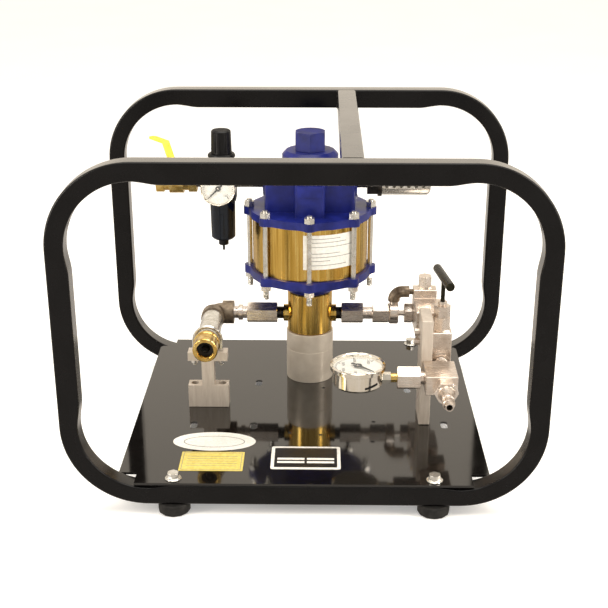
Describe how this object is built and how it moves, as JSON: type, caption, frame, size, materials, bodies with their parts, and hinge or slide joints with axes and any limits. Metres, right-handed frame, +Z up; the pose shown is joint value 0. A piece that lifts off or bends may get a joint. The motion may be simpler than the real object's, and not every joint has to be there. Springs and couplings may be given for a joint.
{
  "type": "hydrostatic test pump",
  "caption": "Air-driven pump for pressure testing with water, in a roll cage of two bent square tubes, with regulator, check valves, needle valve and gauges.",
  "frame": {"origin": "on the floor, at the middle of the cage", "axes": "+Z up, +X to the right and -Y towards a person at the front, +Y to the back"},
  "size_m": [0.57, 0.464, 0.4305],
  "materials": {
    "black_paint": "satin black paint",
    "plate_paint": "gloss black paint",
    "zinc": "bright zinc plate",
    "rubber": "moulded",
    "grey_aluminium": "machined",
    "gold_anodised": "gold anodised",
    "blue_paint": "navy gloss paint",
    "stainless": "machined",
    "dark_steel": "black malleable",
    "black_plastic": "moulded",
    "bowl_plastic": "gloss",
    "brass": "polished",
    "yellow_coat": "yellow coating"
  },
  "bodies": {
    "pump_unit": {"air_barrel": "gold_anodised", "air_head": "blue_paint", "ball_valve_body": "brass", "base_plate": "plate_paint", "exhaust_muffler": "stainless", "filter_bowl": "bowl_plastic", "front_frame": "black_paint", "front_left_foot": "rubber", "front_right_foot": "rubber", "gauge_adapter": "stainless", "gland_packing": "rubber", "hydraulic_body": "gold_anodised", "inlet_bracket": "grey_aluminium", "inlet_check_valve": "stainless", "inlet_elbow": "dark_steel", "inlet_nipple": "stainless", "inlet_pipe": "stainless", "link_nipple": "stainless", "lower_flange": "blue_paint", "manifold_block": "stainless", "outlet_adapter": "stainless", "outlet_block": "stainless", "outlet_check_valve": "stainless", "outlet_fitting": "stainless", "outlet_tee": "stainless", "pipe_u_bolt": "zinc", "pump_pedestal": "grey_aluminium", "rear_frame": "black_paint", "rear_left_foot": "rubber", "rear_right_foot": "rubber", "regulator_body": "black_plastic", "regulator_gauge": "stainless", "regulator_nipple": "dark_steel", "relief_block": "stainless", "relief_elbow": "dark_steel", "supply_nipple": "dark_steel", "support_bar": "grey_aluminium", "test_gauge": "stainless", "top_crossbar": "black_paint", "tube_nut": "stainless", "valve_body": "stainless", "valve_bonnet": "stainless", "valve_cap": "blue_paint"},
    "piston": {"air_piston": "grey_aluminium", "piston_seal": "rubber", "plunger": "stainless"},
    "spool": {"spool_valve": "stainless"},
    "adjuster": {"adjusting_screw": "stainless"},
    "knob": {"regulator_knob": "black_plastic"},
    "drain": {"drain_cock": "black_plastic"},
    "air_pointer": {"regulator_pointer": "black_plastic"},
    "lever": {"ball_valve_lever": "yellow_coat", "valve_ball": "zinc"},
    "inlet_ball": {"inlet_check_ball": "zinc"},
    "outlet_ball": {"outlet_check_ball": "zinc"},
    "swivel": {"hose_swivel": "brass", "hose_washer": "rubber"},
    "needle": {"valve_needle": "stainless"},
    "handle": {"t_handle": "black_plastic"},
    "test_pointer": {"test_gauge_pointer": "black_plastic"}
  },
  "joints": [
    {"name": "piston_stroke", "type": "slide", "parent": "pump_unit", "child": "piston", "axis": [0, 0, 1], "range_m": [0, 0.028]},
    {"name": "spool_shift", "type": "slide", "parent": "pump_unit", "child": "spool", "axis": [0, 0, 1], "range_m": [0, 0.006]},
    {"name": "adjuster_turn", "type": "hinge", "parent": "pump_unit", "child": "adjuster", "pos_m": [-0.115, 0.097, 0.3651], "axis": [0, 0, 1], "range_deg": [0, 1080]},
    {"name": "knob_pull", "type": "slide", "parent": "adjuster", "child": "knob", "axis": [0, 0, 1], "range_m": [0, 0.003]},
    {"name": "drain_turn", "type": "hinge", "parent": "pump_unit", "child": "drain", "pos_m": [-0.115, 0.097, 0.2468], "axis": [0, 0, 1], "range_deg": [0, 90]},
    {"name": "air_pointer_swing", "type": "hinge", "parent": "pump_unit", "child": "air_pointer", "pos_m": [-0.117, 0.0542, 0.3271], "axis": [0, 1, 0], "range_deg": [0, 270], "stiffness_Nm_per_rad": 0.0002},
    {"name": "lever_turn", "type": "hinge", "parent": "pump_unit", "child": "lever", "pos_m": [-0.176, 0.097, 0.3271], "axis": [0, 0, 1], "range_deg": [-37, 53]},
    {"name": "inlet_ball_lift", "type": "slide", "parent": "pump_unit", "child": "inlet_ball", "axis": [1, 0, 0], "range_m": [0, 0.002], "stiffness_N_per_m": 30},
    {"name": "outlet_ball_lift", "type": "slide", "parent": "pump_unit", "child": "outlet_ball", "axis": [1, 0, 0], "range_m": [0, 0.002], "stiffness_N_per_m": 30},
    {"name": "swivel_spin", "type": "hinge", "parent": "pump_unit", "child": "swivel", "pos_m": [-0.131, -0.03, 0.1378], "axis": [0, 1, 0], "continuous": true},
    {"name": "needle_lift", "type": "slide", "parent": "pump_unit", "child": "needle", "axis": [0, 0, 1], "range_m": [0, 0.005]},
    {"name": "handle_turn", "type": "hinge", "parent": "needle", "child": "handle", "pos_m": [0.1747, -0.036, 0.2374], "axis": [0, 0, 1], "range_deg": [0, 1440]},
    {"name": "test_pointer_swing", "type": "hinge", "parent": "pump_unit", "child": "test_pointer", "pos_m": [0.066, -0.09, 0.139], "axis": [0, 0, -1], "range_deg": [0, 270], "stiffness_Nm_per_rad": 0.0005}
  ],
  "couplings": [
    {"joint": "handle_turn", "follows": "needle_lift", "rad_per_m": 5026.5}
  ]
}
